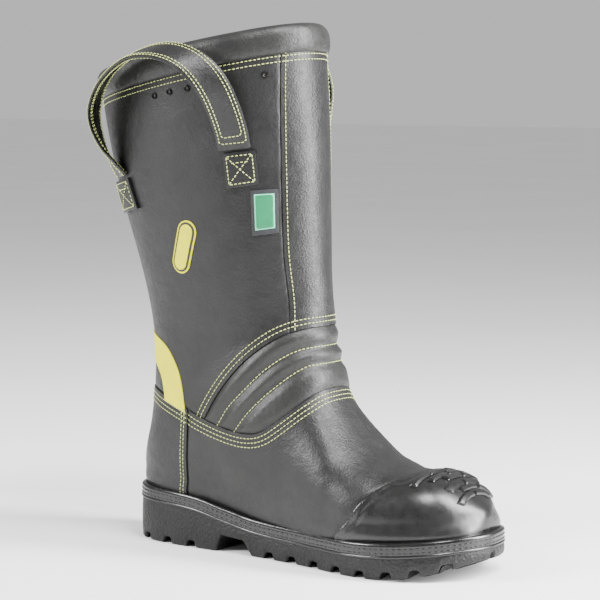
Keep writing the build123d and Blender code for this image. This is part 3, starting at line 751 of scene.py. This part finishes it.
ring, ring_out, ring_up = seam_ring()
COLLAR_PROFILE = [(-9.6, -3), (0.2, -1.8), (1.7, -1.2), (3.3, 0.8), (4.3, 4.5), (4.5, 9.5), (3.8, 14.5),
                  (1.6, 18.4), (-1.4, 20.0), (-4.6, 20.2), (-8.0, 19.4), (-10.4, 17), (-11.6, 12), (-11.4, 6),
                  (-10.4, 0), (-9.8, -3)]
profile = even_line(smooth_line(COLLAR_PROFILE, 6), 44)
# Stuffed leather: slow swells round the rim, and small puckers where it is sewn down.
turn = np.arange(columns) * 2 * np.pi / columns
swell = 0.28 * np.sin(9 * turn) + 0.22 * np.sin(14 * turn + 1) + 0.12 * np.sin(23 * turn + 2)
pucker = 0.22 * np.sin(74 * turn) * np.exp(-((profile[:, 1:] - 1.5) / 2.6) ** 2)
bulge = profile[:, :1] + (swell[None] + pucker) * ease(profile[:, :1] / 3 + 0.4)
collar_spots = ring[None] + bulge[..., None] * ring_out[None] + profile[:, 1:, None] * ring_up[None]
collar_faces = grid_faces(44, columns, True, True)
collar = add_mesh("collar_roll", collar_spots.reshape(-1, 3), collar_faces, [milled_leather])
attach(collar, "shaft")
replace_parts(collar, "collar_cover")

# ---------------------------------------------------------------- lining and insulation
for name, depth, finish, thickness, stands_for in (
        ("lining_sleeve", 9.0, knit_lining, -1.3, ("membrane_bootie",)),
        ("insulation_sleeve", 4.6, aramid_felt, 0.8, ("foot_insulation", "shaft_insulation",
                                                      "instep_foam"))):
    sleeve_data = np.concatenate([upper_grid(depth), out], axis=2)[::2, ::2]
    data, faces = clip(sleeve_data.reshape(-1, 6), closed_faces(*sleeve_data.shape[:2]),
                       -top[::2, ::2].ravel() + 1)
    spots, whole, _ = shell(data[:, :3], data[:, 3:6], faces[:, ::-1] if thickness < 0 else faces,
                            thickness)
    sleeve = add_mesh(name, spots, whole, [finish])
    settle(sleeve, "ankle")
    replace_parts(sleeve, *stands_for)


# ---------------------------------------------------------------- pieces sewn on the sides
def on_side(x, z, side):
    """Places and normals on one side of the upper for points of the side view: the nearest four grid
    points' tangent planes, weighted by nearness."""
    half = surface[np.sign(surface[:, 1]) == side]
    flat = np.stack([x.ravel(), z.ravel()], axis=1)
    gap = ((flat[:, None, :] - half[None, :, [0, 2]]) ** 2).sum(-1)
    near = np.argpartition(gap, 4, axis=1)[:, :4]
    weight = 1 / (np.take_along_axis(gap, near, axis=1) + 0.05)
    weight = weight / weight.sum(axis=1, keepdims=True)
    spots, ups = half[near][..., :3], half[near][..., 3:6]
    shift = flat[:, None, :] - spots[..., [0, 2]]
    y = spots[..., 1] - (shift * ups[..., [0, 2]]).sum(-1) / ups[..., 1]
    laid = np.stack([flat[:, 0], (y * weight).sum(1), flat[:, 1]], axis=1)
    return laid.reshape(x.shape + (3,)), unit((ups * weight[..., None]).sum(1)).reshape(x.shape + (3,))


def patch(name, corners, side, lift, finish, body, replaces, thickness, edge=False, count=14):
    """A four-cornered patch: straight mixes of its corners in the side view, laid on the side."""
    a, b, c, d = (np.array(corner, float) for corner in corners)
    s, t = np.meshgrid(np.linspace(0, 1, count), np.linspace(0, 1, count), indexing="ij")
    flat = ((a + (b - a) * t[..., None]) * (1 - s[..., None]) + (d + (c - d) * t[..., None]) * s[..., None])
    spot, up = on_side(flat[..., 0], flat[..., 1], side)
    border = np.minimum(np.minimum(s, 1 - s) * np.linalg.norm(d - a), np.minimum(t, 1 - t)
                        * np.linalg.norm(b - a))
    spot = spot + up * (lift + 0.35 * ease(border / 1.5))[..., None]
    faces = grid_faces(count, count, False)
    if side < 0:
        faces = faces[:, ::-1]
    test = spot.reshape(-1, 3)[faces[0]]
    if np.dot(np.cross(test[1] - test[0], test[2] - test[0]), up[0, 0]) < 0:
        faces = faces[:, ::-1]
    spots, whole, _ = shell(spot.reshape(-1, 3), up.reshape(-1, 3), faces, thickness)
    attributes = {"edge_mm": np.tile(border.ravel(), 2)} if edge else {}
    piece = add_mesh(name, spots, whole, [finish], attributes=attributes)
    settle(piece, body)
    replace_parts(piece, *replaces)


def patch_thread(name, corners, side, lift):
    """A box with a cross and a short bar sewn through a patch."""
    a, b, c, d = (np.array(corner, float) for corner in corners)

    def at(s, t):
        return (a + (b - a) * t) * (1 - s) + (d + (c - d) * t) * s

    runs = [((.1, .1), (.1, .9)), ((.1, .9), (.9, .9)), ((.9, .9), (.9, .1)), ((.9, .1), (.1, .1)),
            ((.1, .1), (.9, .9)), ((.1, .9), (.9, .1)), ((.3, .22), (.3, .78))]
    lines = []
    for start, end in runs:
        line = np.array([at(*(np.array(start) + (np.array(end) - start) * k)) for k in np.linspace(0, 1, 9)])
        spot, up = on_side(line[:, 0], line[:, 1], side)
        lines.append((spot + up * (lift + 0.35), up))
    stitches(name, lines, aramid_thread, "shaft", 2.9, 2.1, 0.7)


for label, side in (("lateral", -1), ("medial", 1)):
    for where, corners in (("front", FRONT_PATCH), ("rear", REAR_PATCH)):
        patch(f"patch_leather_{label}_{where}", corners, side, 4.0, full_grain_leather, "shaft",
              (f"loop_patch_{label}_{where}",), 3.0)
        patch_thread(f"patch_thread_{label}_{where}", corners, side, 4.0)
patch("tag_tape", TAG, -1, 2.2, black_tape, "shaft", ("tag",), 0.9)
patch("tag_print", TAG_MARK, -1, 2.6, green_print, "shaft", ("tag_mark",), 0.6, True)


def eyelets():
    """Turned metal rings: a profile of radius and height turned round each middle, whose first step is a flat
    disc across the bore in the dark tape finish, painted shade for the open hole.
    """
    turned = np.array([(0.02, 0.0), (1.2, 0.0), (1.3, 0.5), (1.8, 0.85), (2.4, 0.65), (2.8, -0.6)])
    angle = np.arange(24) * np.pi / 12
    middles = np.array(VENTS)
    spots, faces, which = [], [], []
    for side in (-1, 1):
        centre, up = on_side(middles[:, 0], middles[:, 1], side)
        first = unit(np.cross(up, (0, 0, 1)))
        second = np.cross(up, first)
        for c, u, f, g in zip(centre, up, first, second):
            circle = np.cos(angle)[:, None] * f + np.sin(angle)[:, None] * g
            spots.append((c + u * (1.6 + turned[:, 1])[:, None, None] + turned[:, :1, None] * circle)
                         .reshape(-1, 3))
            faces.append(grid_faces(6, 24)[:, ::-1] + 144 * len(faces))
            # The innermost band, the disc across the bore, takes the dark tape finish as painted shade for
            # the hole.
            which.append(np.tile(np.repeat([1, 0, 0, 0, 0], 24), 2))
    piece = add_mesh("vent_eyelet_rings", np.concatenate(spots), np.concatenate(faces),
                     [black_metal, black_tape], np.concatenate(which))
    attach(piece, "shaft")
    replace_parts(piece, "vent_eyelets")


eyelets()

# ---------------------------------------------------------------- pull loops
def loop_frames(count=150):
    """The strap's middle line, its width direction and the way its outer face looks."""
    rear, chord, rise = loop_lines()
    path = np.array([rear + chord * along + rise * height for along, height in LOOP_PATH])
    path = smooth_line(path, 12)
    share = np.linspace(0, 1, len(path))
    looks = np.array([unit(look) for _, look in LOOP_NORMALS])
    look = np.stack([np.interp(share, [at for at, _ in LOOP_NORMALS], part) for part in looks.T], axis=1)
    both = even_line(np.hstack([path, look * 0.001]), count)
    path, look = both[:, :3], unit(both[:, 3:])
    for _ in range(12):
        look[1:-1] = unit(look[:-2] + 2 * look[1:-1] + look[2:])
    tangent = unit(np.gradient(path, axis=0))
    width = unit(np.cross(tangent, look))
    return path, width, unit(np.cross(width, tangent))


def pull_loop(label, side):
    """A strap: a rounded rectangle, slightly cupped, carried along the loop's middle line."""
    path, width, look = loop_frames()
    half, thick = STRAP_WIDTH / 2, STRAP_THICKNESS / 2
    over = np.linspace(-1, 1, 15)
    dome = thick * (1 - 0.75 * abs(over) ** 10) - 0.25 * np.exp(-((abs(over) - 0.8) / 0.05) ** 2)
    section = np.vstack([np.column_stack([over * half, dome]),
                         np.column_stack([over[::-1] * half, -dome[::-1]])])
    flip = np.array((1, -1, 1)) if side > 0 else 1
    spots = path[:, None] + section[None, :, :1] * width[:, None] + section[None, :, 1:] * look[:, None]
    faces = grid_faces(len(path), 30)
    ends = np.array([[0, k, k + 1] for k in range(1, 29)])
    faces = np.vstack([faces, ends[:, ::-1], ends + 30 * (len(path) - 1)])
    faces = faces if side > 0 else faces[:, ::-1]
    piece = add_mesh(f"pull_loop_{label}", (spots * flip).reshape(-1, 3), faces, [full_grain_leather])
    settle(piece, f"{label}_loop")
    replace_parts(piece, f"{label}_loop")
    lines = []
    for face in (1, -1):
        for offset, last in ((0.62, -7), (0.82, -4)):
            cross = np.linspace(-1, 1, 9)[1:-1, None] * offset * half
            run = np.vstack([path[:last] - width[:last] * half * offset, path[last] + width[last] * cross,
                             (path[:last] + width[:last] * half * offset)[::-1]])
            up = np.vstack([look[:last], np.repeat(look[last][None], 7, axis=0), look[:last][::-1]]) * face
            lines.append(((run + up * (thick - 0.05)) * flip, up * flip))
    stitches(f"pull_loop_thread_{label}", lines, aramid_thread, f"{label}_loop", 3.0, 2.1, 0.7, 0.05)


pull_loop("lateral", -1)
pull_loop("medial", 1)

# ---------------------------------------------------------------- sole
plan = smooth_line(SOLE_PLAN + SOLE_PLAN[:1], 12)
plan = even_line(plan, 901)[:-1]
rim_line = smooth_line(RIM, 10)


def sole_bottom(x, y):
    """Height of the tread: the ground line, plus round-cornered slots that cross the lugs, swept
    back past the arch, plus a half-round channel down the middle that winds as a sine."""
    ground = np.interp(x, *np.array(GROUND).T)
    cut = np.zeros_like(x)
    for middle in LUG_SLOTS:
        gap = x - middle - (LUG_SWEEP * abs(y) if middle > ARCH_END else 0)
        cut = np.maximum(cut, np.sqrt(np.clip(1 - (gap / 4.5) ** 4, 0, 1)) * ease((abs(y) - 10) / 4))
    wind = y - 4 * np.sin(x / 11)
    cut = np.maximum(cut, np.sqrt(np.clip(1 - (wind / 3.0) ** 2, 0, 1)) * 0.8)
    return ground + LUG_DEPTH * cut


def sole_wall():
    """The side of the sole: rings of the plan drawn in or out by a profile. From the top it is a lip, a
    polished band with a bead below it, and a pebbled wall down to the tread."""
    before, after = np.roll(plan, 1, axis=0), np.roll(plan, -1, axis=0)
    along = unit(after - before)
    outward = np.stack([along[:, 1], -along[:, 0]], axis=1)
    rim = np.interp(plan[:, 0], *rim_line.T)
    tread_z = sole_bottom(plan[:, 0], plan[:, 1])
    top_part = [(-21, -0.3), (-3.0, -0.5), (-1.4, -0.5), (-0.5, -0.1), (0, 0.6), (0.1, 1.4), (-0.5, 2.0),
                (-0.5, 3.2), (-0.4, 5.0), (-0.4, 7.0), (-0.4, 8.4), (0.3, 8.9), (0.5, 9.6), (0.3, 10.3),
                (-0.5, 10.9)]
    rings = [(outset, rim - drop) for outset, drop in top_part]
    under = rings[-1][1]
    rings += [(-0.5 + 0.5 * np.sin(np.pi * s), tread_z + 1.6 + (under - tread_z - 1.6) * (1 - s))
              for s in np.linspace(0.12, 1, 9)]
    rings += [(-1.0, tread_z + 0.6), (-1.9, tread_z + 0.1), (-3.2, tread_z + 0.05)]
    spots = np.array([np.column_stack([plan + outward * outset, height]) for outset, height in rings])
    faces = grid_faces(len(rings), len(plan))
    which = np.where(np.tile(np.repeat(np.arange(len(rings) - 1), len(plan)), 2) < 13, 0, 1)
    wall = add_mesh("sole_wall", spots.reshape(-1, 3), faces, [polished_rubber, pebbled_rubber], which)
    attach(wall, "foot")
    dashes = []
    for drop in (3.9, 7.0):
        line = np.column_stack([plan - outward * 0.4, rim - drop])
        dashes.append((np.vstack([line, line[:1]]), np.column_stack([np.vstack([outward, outward[:1]]),
                                                                     np.zeros(len(plan) + 1)])))
    stitches("sole_band_dashes", dashes, polished_rubber, "foot", 4.6, 3.4, 1.1, 0.0)
    return wall


def sole_tread():
    """The underside: a height field on a square grid, clipped by the distance to the plan."""
    x, y = np.meshgrid(np.arange(-8, 310, 1.4), np.arange(-60, 58, 1.4), indexing="ij")
    flat = np.stack([x.ravel(), y.ravel()], axis=1)
    gap = np.full(len(flat), 1e9)
    inside = np.zeros(len(flat), bool)
    start = plan[::3]
    end = np.roll(start, -1, axis=0)
    for a, b in zip(start, end):
        run = b - a
        share = np.clip((flat - a) @ run / (run @ run), 0, 1)
        gap = np.minimum(gap, np.linalg.norm(flat - a - share[:, None] * run, axis=1))
        crosses = (a[1] > flat[:, 1]) != (b[1] > flat[:, 1])
        height = np.where(abs(run[1]) > 1e-9, run[1], 1e-9)
        inside ^= crosses & (flat[:, 0] < a[0] + run[0] * (flat[:, 1] - a[1]) / height)
    depth = np.where(inside, gap, -gap) - 2.4
    data = np.column_stack([flat, sole_bottom(flat[:, 0], flat[:, 1])])
    data, faces = clip(data, grid_faces(*x.shape, False), depth)
    test = data[faces[0]]
    if np.cross(test[1] - test[0], test[2] - test[0])[2] > 0:
        faces = faces[:, ::-1]
    tread = add_mesh("sole_tread", data, faces, [pebbled_rubber])
    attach(tread, "foot")


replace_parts(sole_wall(), "outsole")
sole_tread()

# ---------------------------------------------------------------- finishes of the CAD pieces that stay
for names, finish in (
        (("midsole", "collar_foam", "shin_pad"), soft_foam), (("shank",), hard_steel),
        (("puncture_plate",), aramid_felt), (("footbed",), foot_fabric)):
    for name in names:
        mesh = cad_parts[name].data
        mesh.materials.clear()
        mesh.materials.append(finish)

# ---------------------------------------------------------------- floor, light and camera
floor_mesh = bpy.data.meshes.new("studio_floor")
floor_mesh.from_pydata([(-12, -12, 0), (12, -12, 0), (12, 12, 0), (-12, 12, 0)], [], [(0, 1, 2, 3)])
floor_mesh.materials.append(material("matt_white_floor", ("#F6F6F6", "#F1F1F1"), 400, (0.7, 0.8), []))
floor = bpy.data.objects.new("studio_floor", floor_mesh)
bpy.context.scene.collection.objects.link(floor)

world = bpy.data.worlds.new("white_studio")
bpy.context.scene.world = world
world.use_nodes = True
world.node_tree.nodes["Background"].inputs["Color"].default_value = srgb("#FFFFFF")
world.node_tree.nodes["Background"].inputs["Strength"].default_value = 0.62


def soft_light(name, spot, aim, size, power):
    """A rectangular softbox that looks from a spot to an aim."""
    lamp = bpy.data.lights.new(name, "AREA")
    lamp.shape = "RECTANGLE"
    lamp.size, lamp.size_y = size
    lamp.energy = power
    held = bpy.data.objects.new(name, lamp)
    held.location = spot
    held.rotation_euler = (Vector(aim) - Vector(spot)).to_track_quat("-Z", "Y").to_euler()
    bpy.context.scene.collection.objects.link(held)


soft_light("strip_right", (1.0, 0.35, 0.6), (0.0, 0.0, 0.22), (0.28, 1.4), 75)
soft_light("key_left", (-1.1, -1.3, 1.1), (0.0, 0.0, 0.2), (0.5, 1.0), 62)
soft_light("over_toe", (0.7, -0.3, 1.6), (0.05, 0.0, 0.1), (0.5, 0.5), 40)

AZIMUTH, ELEVATION, DISTANCE = np.radians(35.03), np.radians(5.76), 1.7164
TARGET = np.array((0.00456, -0.0014, 0.19357))
view = np.array((np.sin(AZIMUTH) * np.cos(ELEVATION), -np.cos(AZIMUTH) * np.cos(ELEVATION),
                 np.sin(ELEVATION)))
lens = bpy.data.cameras.new("camera")
lens.sensor_width = 36.0
lens.lens = 2253.3 / 600 * 36.0
camera = bpy.data.objects.new("camera", lens)
camera.location = TARGET + view * DISTANCE
camera.rotation_euler = (Vector(TARGET) - camera.location).to_track_quat("-Z", "Y").to_euler()
bpy.context.scene.collection.objects.link(camera)
bpy.context.scene.camera = camera
